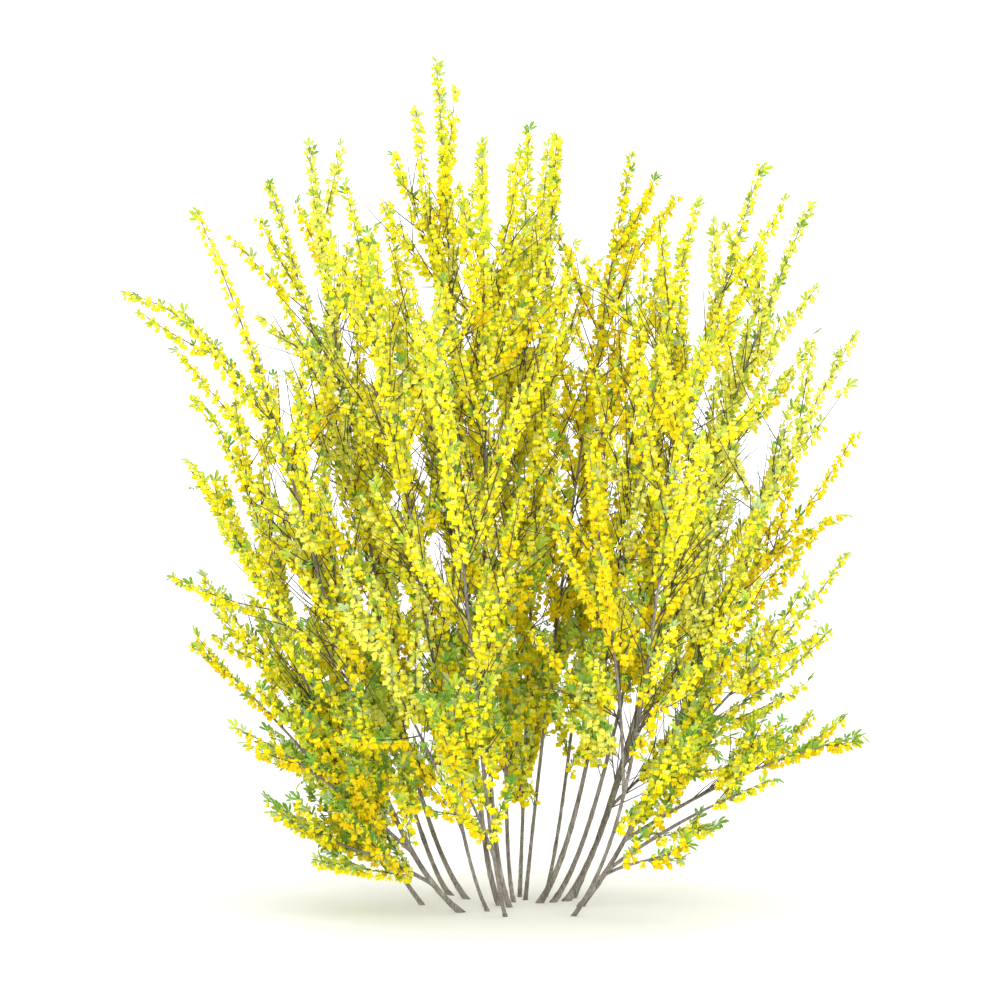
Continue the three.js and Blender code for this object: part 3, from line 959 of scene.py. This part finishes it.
def plain_finishes(name, colors, roughness, **constants):
    """One plain material for each tint of a kind of thing."""
    names = [f"{name}_{i + 1}" for i in range(len(colors))]
    return [Finish(*pair, roughness, **constants).material for pair in zip(names, colors)]


# Settings
def tint(name, description, default):
    return bpy.props.FloatVectorProperty(
        name=name, description=description, default=default, size=3, min=0, max=1, subtype="COLOR")


def amount(name, description, default, **limits):
    return bpy.props.FloatProperty(name=name, description=description, default=default, min=0, **limits)


def measure(name, description, default):
    return amount(name, description, default, unit="LENGTH")


class WoodSettings(bpy.types.PropertyGroup):
    """Bark and twigs"""
    ring_gap: measure("Ring gap", "Length of one ring of a stem's mesh near its foot", 0.007)
    ridge: measure("Ridge height", "How far the ridges stand out of the bark", 0.0005)
    bark_color: tint("Bark", "Middle tone of the bark", (0.215, 0.190, 0.158))
    # The furrow tone is partly painted shade, and the ridge tone partly a painted highlight
    furrow_and_shade_color: tint("Furrows", "Dark tone of the bark", (0.035, 0.028, 0.021))
    ridge_and_highlight_color: tint("Ridges", "Pale tone of the bark", (0.47, 0.44, 0.39))
    twig_brown: tint("Brown twigs", "Tone of the older twigs", (0.085, 0.062, 0.040))
    twig_green: tint("Green twigs", "Tone of the young twigs", (0.13, 0.15, 0.035))


class BlossomSettings(bpy.types.PropertyGroup):
    """Flowers"""
    size: measure("Flower length", "From the base of the keel to its tip", 0.0168)
    gap: measure("Flower gap", "Distance between flowers along an upright twig", 0.0071)
    stalk: measure("Flower stalk", "Length of a flower's stalk", 0.0065)
    lemon: tint("Lemon", "Most of the flowers", (0.92, 0.845, 0.012))
    # The golden tint is painted shade: a shaded copy of the lemon yellow, given to more flowers low in the
    # crown
    golden_shade: tint("Golden", "Older flowers", (0.92, 0.71, 0.008))
    # The pale tint is a painted highlight, a lit copy of the lemon yellow, and the lime is a paler painted
    # highlight for banners
    pale_highlight: tint("Pale", "Young flowers", (0.90, 0.86, 0.12))
    lime: tint("Lime", "Banners of the young flowers", (0.76, 0.82, 0.16))
    # The orange at the foot of the keel is partly the flower's own tone and partly painted shade where it
    # meets its stalk
    base: tint("Base", "Foot of a flower's keel", (0.84, 0.54, 0.008))
    calyx: tint("Calyx", "Stalk and cup of a flower", (0.13, 0.13, 0.025))


class LeafSettings(bpy.types.PropertyGroup):
    """Leaves"""
    length: measure("Leaf length", "Length of one leaflet", 0.030)
    gap: measure("Leaf gap", "Distance between tufts of leaves along a twig", 0.036)
    tips: amount("Leafy tips", "Share of the twigs with a tuft at their tip", 0.12, max=1, subtype="FACTOR")
    lime: tint("Lime", "Young leaves", (0.48, 0.64, 0.04))
    mid: tint("Green", "Most of the leaves", (0.19, 0.40, 0.03))
    # The grey green is a painted highlight: the pale tone of lit leaves
    lit_grey: tint("Grey green", "Downy leaves", (0.45, 0.60, 0.24))


class StageSettings(bpy.types.PropertyGroup):
    """Floor, light and camera"""
    distance: measure("Camera distance", "From the main stem to the camera", CAMERA_DISTANCE)
    height: measure("Camera height", "Height of the camera above the ground", CAMERA_HEIGHT)
    lens: amount("Lens", "Focal length in millimetres", 108, unit="CAMERA")
    sun: amount("Sun", "Strength of the main light", 0.35)
    fill: amount("Fill", "Strength of the light from the front", 0.3)
    sky: amount("Sky", "Strength of the light from all round", 1.5)


# Shapes of the small things, in shares of their length: along X, with +Z up.
# The parts of a flower have materials of their own, in this order.
POD, BANNER, SHADED_FOOT, PARTS = range(4)


def flower_shape():
    """A rounded pod for the keel, a wing each side of it, and the notched banner upright behind it."""
    pod = [(0, 0, 0)]
    for along, top, wide, low in ((0.28, 0.22, 0.16, -0.24), (0.68, 0.14, 0.17, -0.36)):
        pod += [(along, 0, top), (along, wide, -0.08), (along, 0, low), (along, -wide, -0.08)]
    pod.append((1, 0, -0.02))
    tip = len(pod) - 1
    faces, parts = [], []
    # The faces at the pod's foot take the orange base tint, partly painted shade
    for k in range(4):
        a, b = 1 + k, 1 + (k + 1) % 4
        faces += [(0, b, a), (a, b, b + 4), (a, b + 4, a + 4), (a + 4, b + 4, tip)]
        parts += [SHADED_FOOT, POD, POD, POD]
    wings = [(0.05, 0, 0.05), (0.5, 0.56, 0.28), (1, 0.48, -0.05), (0.6, 0.2, -0.34)]
    wings += [(x, -y, z) for x, y, z in wings]
    start = len(pod)
    faces += [(start, start + 2, start + 1), (start, start + 3, start + 2)]
    faces += [(start + 4, start + 5, start + 6), (start + 4, start + 6, start + 7)]
    parts += [POD] * 4
    rim = [(0.12, 0.14, 0), (0.16, 0.46, 0.3), (-0.06, 0.48, 0.66), (0.02, 0.22, 0.96)]
    banner = [(0.18, 0, 0.42), *((x, -y, z) for x, y, z in rim), (0.08, 0, 0.8), *reversed(rim)]
    start = len(pod) + len(wings)
    count = len(banner) - 1
    faces += [(start, start + 1 + k, start + 1 + (k + 1) % count) for k in range(count)]
    parts += [BANNER] * count
    return np.array(pod + wings + banner, float), np.array(faces), np.array(parts)


def stalk_shape():
    """A flower's stalk that widens towards the flower."""
    ends = [(0, 0.04), (1.1, 0.12)]
    corners = [(math.cos(turn), math.sin(turn)) for turn in (0.5, 2.6, 4.7)]
    points = [(along, y * radius, z * radius) for along, radius in ends for y, z in corners]
    faces = tube_faces(2, 3)[:6]
    return np.array(points), faces, np.zeros(len(faces), int)


def leaf_shape():
    """Three leaflets on one stalk, each wider towards its end and folded along its rib."""
    edge = [(0.45, 0.14, 0.06), (0.8, 0.16, 0.05)]
    leaflet = [(0.06, 0, 0), *edge, (1.05, 0, -0.06), *((x, -y, z) for x, y, z in reversed(edge))]
    points, faces = [], []
    for swing, size in ((0.1, 1), (0.75, 0.8), (-0.55, 0.75)):
        along, over = math.cos(swing), math.sin(swing)
        turn = np.array(((along, over, 0), (-over, along, 0), (0, 0, 1)))
        start = len(points)
        points += list(np.array(leaflet) * size @ turn)
        faces += [(start, start + k + 1, start + k) for k in range(1, len(leaflet) - 1)]
    return np.array(points), np.array(faces), np.zeros(len(faces), int)


def frames_from(forward, up):
    """Frames whose X runs forward and whose Z leans towards up."""
    forward = unit(forward)
    side = unit(np.cross(up, forward))
    return np.stack((forward, side, np.cross(forward, side)), axis=1)


# Flowers and leaves on the wands
Bloom = namedtuple("Bloom", "origins frames scales tints feet")


def flower_kind(wand):
    """Which flowers a wand has: 0 for lemon, 1 for golden, a painted shade, and 2 for pale, a painted
    highlight.
    """
    low = max(0, 1 - wand.limb.path.corners[-1][2] / GOLDEN_HEIGHT)
    limits = (LEMON_TO - LEMON_LESS * low, GOLDEN_TO + GOLDEN_MORE * low)
    return sum(wand.tint >= limit for limit in limits)


def blossom_on(shoot, settings, chance):
    """Where the flowers of a mass hang. In a gap of the crown only the shoot's own limb keeps them."""
    feet, stalks, scales, tints, held = [], [], [], [], []
    for wand in shoot.flowering():
        limb = wand.limb
        level = math.sqrt(max(0, 1 - limb.path.heading(limb.share(LEVEL_AT))[2] ** 2))
        gap = settings.gap * (1 + LEVEL_GAP * level) * (LEAFY_GAP if wand.is_leafy else 1)
        spots = np.arange(wand.bare * limb.length, limb.length - FLOWER_END, gap)
        count = len(spots)
        spots = spots + chance.uniform(-FLOWER_JITTER, FLOWER_JITTER, count) * gap
        along = np.clip(spots / limb.length, wand.bare, 1)
        share = np.minimum(limb.share(along), 1)
        heading = limb.path.heading(share)
        turn = any_turn(chance) + np.arange(count) * FLOWER_TURN
        out = aside(heading, turn + chance.uniform(-FLOWER_TURN_JITTER, FLOWER_TURN_JITTER, count))
        drop = UP * (STALK_HANG + STALK_LEVEL_HANG * level)
        stalk = unit(out + heading * STALK_ALONG - drop + chance.normal(0, STALK_SCATTER, out.shape))
        feet.append(limb.path.at(share))
        stalks.append(stalk)
        scales.append((FOOT_SIZE - TIP_SHRINK * along**3) * chance.uniform(*FLOWER_SIZES, count))
        tints.append(np.full(count, flower_kind(wand) * PARTS))
        held.append(np.full(count, limb is shoot.limb))
    feet = np.concatenate(feet)
    kept = np.concatenate(held) | ~in_gaps(feet)
    feet = feet[kept]
    stalks, scales, tints = (np.concatenate(rows)[kept] for rows in (stalks, scales, tints))
    origins = feet + stalks * settings.stalk * scales[:, None]
    forward = stalks * FORWARD - UP * FORWARD_DROP + chance.normal(0, FORWARD_SCATTER, stalks.shape)
    up = UP + stalks * UP_LEAN + chance.normal(0, UP_SCATTER, stalks.shape)
    return Bloom(origins, frames_from(forward, up), scales * settings.size, tints, feet)


def leaves_on(shoot, settings, chance):
    """Where the leaf sprays of a mass stand: in tufts along the wands, and on the sprigs."""
    feet, ways, scales = [], [], []

    def set_leaves(limb, along, sizes):
        share = np.minimum(limb.share(along), 1)
        turns, angles = any_turn(chance, len(share)), chance.uniform(*LEAF_ANGLES, len(share))
        feet.append(limb.path.at(share))
        ways.append(leant(limb.path.heading(share), turns, angles))
        scales.append(chance.uniform(*sizes, len(share)))

    for wand in shoot.flowering():
        limb = wand.limb
        low = np.clip((LOW_FROM - limb.path.corners[0][2]) / LOW_DEPTH, 0, 1)
        gap = settings.gap * (LEAFY_TUFTS if wand.is_leafy else 1 - LOW_TUFTS * low)
        along = np.arange(wand.bare * limb.length + gap * chance.random(), limb.length, gap) / limb.length
        if chance.random() < settings.tips:
            along = np.concatenate((along, (1.0,)))
        set_leaves(limb, along, LEAF_SIZES)
    for sprig in shoot.sprigs:
        set_leaves(sprig.limb, np.array(SPRIG_LEAVES), SPRIG_LEAF_SIZES)
    feet = np.concatenate(feet)
    kept = ~in_gaps(feet)
    feet = feet[kept]
    ways, scales = (np.concatenate(rows)[kept] for rows in (ways, scales))
    frames = frames_from(ways, UP + chance.normal(0, LEAF_SCATTER, ways.shape))
    high = np.clip(feet[:, 2] / LIME_HEIGHT, 0, 1)
    young = chance.random(len(feet)) < YOUNG_SHARE + YOUNG_MORE * high
    tints = np.where(young, 0, np.where(chance.random(len(feet)) < MID_SHARE, 1, 2))
    return feet, frames, scales, tints


def sectors():
    """The shoots of each sector of the crown."""
    for sector in SECTORS:
        shoots = [shoot for shoot in plant() if shoot.sector == sector]
        if shoots:
            yield sector, shoots


class BROOM_OT_bark(bpy.types.Operator):
    """Model each stem and its side shoots with the relief of their bark"""
    bl_idname = "broom.bark"
    bl_label = "Bark"

    def execute(self, context):
        settings = context.scene.broom_wood
        finish = bark_finish(settings)
        for stem in STEMS:
            limbs = []
            for shoot in plant():
                if shoot.name == stem.name:
                    limbs.append(self.limb(settings, shoot.path, self.stem_radius(stem), True))
                elif shoot.stem == stem.name:
                    limbs.append(self.limb(settings, shoot.path, self.side_radius(shoot), False))
            piece = join(limbs, "bark_" + stem.name)
            piece.data.materials.append(finish)
            boughs = ["bough_" + side.name for side in SIDES if side.stem == stem.name and side.bare]
            settle(piece, [stem.name, *boughs])
        return {"FINISHED"}

    @staticmethod
    def stem_radius(stem):
        def radius(share, height):
            wood = stem.girth / 2 + (SHOOT_RADIUS - stem.girth / 2) * share / BARE_SHARE
            thin = crown_radius((share - BARE_SHARE) / (1 - BARE_SHARE))
            return np.where(share < BARE_SHARE, wood, thin) * (1 + FLARE * np.exp(-height / FLARE_HEIGHT))
        return radius

    @staticmethod
    def side_radius(shoot):
        def radius(share, height):
            bough = BOUGH_RADIUS + (SHOOT_RADIUS - BOUGH_RADIUS) * share / max(shoot.start, LEAST_SHARE)
            thin = crown_radius((share - shoot.start) / (1 - shoot.start))
            return np.where(share < shoot.start, bough, thin)
        return radius

    @staticmethod
    def limb(settings, path, radius, is_foot):
        """One limb's bark: a tube along its path, cut at the ground, with its ridges."""
        points, size = rings_along(path, radius, settings.ring_gap)
        if is_foot:
            points = np.concatenate(([points[0] - path.heading(0.0) * FOOT_SUNK], points))
            size = np.concatenate((size[:1], size))
        limb = bevelled_tube(points, size, FOOT_ROUNDNESS if is_foot else SHOOT_ROUNDNESS)
        bpy.ops.object.mode_set(mode="EDIT")
        bpy.ops.mesh.select_all(action="SELECT")
        if is_foot:
            place = (0, 0, CUT_HEIGHT)
            bpy.ops.mesh.bisect(
                plane_co=place, plane_no=UP, clear_inner=True, use_fill=True, threshold=CUT_FINENESS)
            bpy.ops.mesh.select_all(action="SELECT")
        bpy.ops.mesh.remove_doubles(threshold=MERGE_DISTANCE)
        bpy.ops.mesh.normals_make_consistent(inside=False)
        bpy.ops.object.mode_set(mode="OBJECT")
        add_relief(limb, settings.ridge)
        bpy.ops.object.shade_smooth()
        return limb


def rings_along(path, radius, ring_gap):
    """Points and sizes along a limb, closest at its foot, with a knot here and there."""
    count = int(path.length / (ring_gap * MEAN_RING_GAP))
    share = np.linspace(0, 1, count) ** RING_CROWDING
    points = path.at(share)
    chance = np.random.default_rng(count)
    knots = np.convolve(chance.random(count + 2) > 1 - KNOT_SHARE, KNOT_SHAPE, "valid")
    return points, radius(share, points[:, 2]) * (1 + KNOT_SIZE * knots)


def bevelled_tube(points, size, resolution):
    """A bevelled curve through the points, made a mesh."""
    bpy.ops.object.select_all(action="DESELECT")
    bpy.ops.curve.primitive_nurbs_path_add()
    curve = bpy.context.object.data
    curve.splines.clear()
    spline = curve.splines.new("POLY")
    spline.points.add(len(points) - 1)
    spline.points.foreach_set("co", np.column_stack((points, np.ones(len(points)))).ravel())
    spline.points.foreach_set("radius", size)
    curve.bevel_depth = 1
    curve.bevel_resolution = resolution
    curve.use_fill_caps = True
    bpy.ops.object.convert(target="MESH")
    return bpy.context.object


def add_relief(limb, ridge):
    """Ridges and furrows in the bark, as high as they are deep, and none at the flat cut on the ground."""
    grain = bpy.data.textures.new("grain", "CLOUDS")
    grain.noise_scale = GRAIN_SIZE
    relief = limb.modifiers.new("relief", "DISPLACE")
    relief.texture = grain
    relief.texture_coords = "LOCAL"
    relief.strength = ridge * 2
    held = limb.vertex_groups.new(name="above ground")
    for vertex in limb.data.vertices:
        held.add([vertex.index], min(1.0, max(0.0, vertex.co.z / RELIEF_FROM)), "REPLACE")
    relief.vertex_group = held.name
    bpy.ops.object.modifier_apply(modifier=relief.name)
    limb.vertex_groups.clear()


def crown_radius(along):
    """The radius of a shoot within the crown, from where it leaves its stem or bough to its tip."""
    tip = TWIG_TUBE.tip
    return tip + (SHOOT_RADIUS - tip) * np.clip(1 - along, 0, 1) ** TAPER


def join(things, name):
    """Meshes made one, with its origin at the frame's."""
    bpy.ops.object.select_all(action="DESELECT")
    for thing in things:
        thing.select_set(True)
    bpy.context.view_layer.objects.active = things[0]
    bpy.ops.object.join()
    joined = bpy.context.object
    joined.name = joined.data.name = name
    bpy.ops.object.transform_apply(location=True, rotation=True, scale=True)
    return joined


class BROOM_OT_twigs(bpy.types.Operator):
    """Grow the twigs and the flower stalks, joined by sectors of the crown"""
    bl_idname = "broom.twigs"
    bl_label = "Twigs"

    def execute(self, context):
        wood, blossom = context.scene.broom_wood, context.scene.broom_blossom
        tints = plain_finishes("twig", (wood.twig_brown, wood.twig_green, blossom.calyx), 0.7)
        for sector, shoots in sectors():
            heap = Heap()
            for shoot in shoots:
                self.grow(heap, shoot)
            heap.piece("twigs_" + sector, tints, "bark", [shoot.node for shoot in shoots])
        return {"FINISHED"}

    def grow(self, heap, shoot):
        """One mass's twigs, and the stalks of its flowers."""
        wands = [wand for wand in shoot.flowering() if not wand.is_limb]
        young = np.array([wand.tint for wand in wands]) * TINT_SHUFFLE % 1 < GREEN_WANDS
        self.tubes(heap, TWIG_TUBE, (*shoot.twigs, *shoot.long_twigs), BROWN)
        self.tubes(heap, CROSSING_TUBE, [twig.limb for twig in shoot.crossing], BROWN)
        self.tubes(heap, SPRIG_TUBE, [sprig.limb for sprig in shoot.sprigs], GREEN)
        self.tubes(heap, WAND_TUBE, [wand.limb for wand in wands], np.where(young, GREEN, BROWN))
        bloom = bloom_of(shoot)
        way = bloom.origins - bloom.feet
        length = np.linalg.norm(way, axis=1)
        tints = np.full(len(length), CALYX)
        heap.add_copies(stalk_shape(), bloom.feet, frames_from(way, OBLIQUE), length, tints)

    @staticmethod
    def tubes(heap, tube, limbs, tints):
        """A tube of one kind along each limb."""
        if not limbs:
            return
        along = np.linspace(0, 1, tube.rings)
        centres = np.stack([limb.path.at(along) for limb in limbs])
        headings = np.stack([limb.path.heading(along) for limb in limbs])
        radii = np.tile(tube.foot + (tube.tip - tube.foot) * along, (len(limbs), 1))
        heap.add_tubes(centres, headings, radii, tube.sides, np.broadcast_to(tints, len(limbs)))


@functools.lru_cache(maxsize=None)
def bloom_of(shoot):
    """The flowers of one mass, worked out once for the stalks and the petals."""
    chance = np.random.default_rng(SEED_STEP + SECTORS.index(shoot.sector) + len(shoot.wands))
    return blossom_on(shoot, bpy.context.scene.broom_blossom, chance)


class BROOM_OT_blossom(bpy.types.Operator):
    """Hang the flowers on the twigs, joined by sectors of the crown"""
    bl_idname = "broom.blossom"
    bl_label = "Blossom"

    def execute(self, context):
        settings = context.scene.broom_blossom
        colors = []
        # Each banner takes a tint one step paler than its pod: a painted highlight on the upright petal
        for pod, banner in ((settings.lemon, settings.pale_highlight), (settings.golden_shade, settings.lemon),
                            (settings.pale_highlight, settings.lime)):
            colors += [pod, banner, settings.base]
        petals = plain_finishes("petal", colors, 0.6, Specular_IOR_Level=0.15)
        shape = flower_shape()
        for sector, shoots in sectors():
            heap = Heap()
            for shoot in shoots:
                bloom = bloom_of(shoot)
                heap.add_copies(shape, bloom.origins, bloom.frames, bloom.scales, bloom.tints)
            heap.piece("flowers_" + sector, petals, "blossom", [shoot.node for shoot in shoots])
        return {"FINISHED"}


class BROOM_OT_leaves(bpy.types.Operator):
    """Set the leaves along the twigs, joined by sectors of the crown"""
    bl_idname = "broom.leaves"
    bl_label = "Leaves"

    def execute(self, context):
        settings = context.scene.broom_leaf
        # The third green is a painted highlight, the pale tone of lit leaves
        greens = plain_finishes("leaf", (settings.lime, settings.mid, settings.lit_grey), 0.6, Sheen_Weight=0.1)
        shape = leaf_shape()
        for i, (sector, shoots) in enumerate(sectors()):
            heap = Heap()
            for k, shoot in enumerate(shoots):
                chance = np.random.default_rng(SEED + SECTOR_SEEDS * i + k)
                feet, frames, scales, tints = leaves_on(shoot, settings, chance)
                heap.add_copies(shape, feet, frames, scales * settings.length, tints)
            heap.piece("foliage_" + sector, greens, "foliage", [shoot.node for shoot in shoots])
        return {"FINISHED"}


class BROOM_OT_stage(bpy.types.Operator):
    """Lay the floor, set the lights and place the camera"""
    bl_idname = "broom.stage"
    bl_label = "Stage"

    def execute(self, context):
        settings = context.scene.broom_stage
        scene = context.scene
        bpy.ops.object.select_all(action="DESELECT")
        bpy.ops.mesh.primitive_circle_add(
            vertices=FLOOR_SIDES, radius=FLOOR_RADIUS, fill_type="NGON", location=(0, 0, 0))
        floor = context.object
        floor.name = "floor"
        finish = Finish("floor", (0.86, 0.86, 0.86), 0.9)
        place = finish.node("TexCoord", output=OBJECT_OUTPUT)
        grain = finish.node("TexNoise", Vector=place, Scale=3.0, Detail=2)
        floor.data.materials.append(finish.feed(Roughness=0.85 + grain * 0.1))
        world = bpy.data.worlds.new("studio")
        scene.world = world
        world.use_nodes = True
        world.node_tree.nodes["Background"].inputs["Color"].default_value = (1, 1, 1, 1)
        world.node_tree.nodes["Background"].inputs["Strength"].default_value = settings.sky
        for name, turn, strength, angle in (("key light", (48, 0, 38), settings.sun, 12),
                                            ("fill light", (76, 0, -6), settings.fill, 30)):
            bpy.ops.object.light_add(type="SUN", rotation=tuple(map(math.radians, turn)))
            sun = context.object
            sun.name = name
            sun.data.energy = strength
            sun.data.angle = math.radians(angle)
        place = (0, -settings.distance, settings.height)
        bpy.ops.object.camera_add(location=place, rotation=(math.radians(90), 0, 0))
        camera = context.object
        camera.name = "camera"
        camera.data.lens = settings.lens
        camera.data.sensor_width = 36
        scene.camera = camera
        scene.view_settings.view_transform = "Standard"
        return {"FINISHED"}


class BROOM_PT_panel(bpy.types.Panel):
    """The steps that make the shrub"""
    bl_label = "Scotch broom"
    bl_idname = "BROOM_PT_panel"
    bl_space_type = "VIEW_3D"
    bl_region_type = "UI"
    bl_category = "Broom"

    def draw(self, context):
        for operator in OPERATORS:
            self.layout.operator(operator.bl_idname)
        for name in SETTINGS:
            box = self.layout.box()
            for prop in getattr(context.scene, name).bl_rna.properties:
                if prop.identifier not in {"rna_type", "name"}:
                    box.prop(getattr(context.scene, name), prop.identifier)


SETTINGS = {
    "broom_wood": WoodSettings,
    "broom_blossom": BlossomSettings,
    "broom_leaf": LeafSettings,
    "broom_stage": StageSettings,
}
OPERATORS = (BROOM_OT_stage, BROOM_OT_bark, BROOM_OT_twigs, BROOM_OT_blossom, BROOM_OT_leaves)


def register():
    for cls in (*SETTINGS.values(), *OPERATORS, BROOM_PT_panel):
        bpy.utils.register_class(cls)
    for name, cls in SETTINGS.items():
        setattr(bpy.types.Scene, name, bpy.props.PointerProperty(type=cls))


def unregister():
    for name in SETTINGS:
        delattr(bpy.types.Scene, name)
    for cls in reversed((*SETTINGS.values(), *OPERATORS, BROOM_PT_panel)):
        bpy.utils.unregister_class(cls)


def main():
    register()
    bpy.ops.broom.stage()
    bpy.ops.broom.bark()
    bpy.ops.broom.twigs()
    bpy.ops.broom.blossom()
    bpy.ops.broom.leaves()
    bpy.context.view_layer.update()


if __name__ == "__main__":
    main()
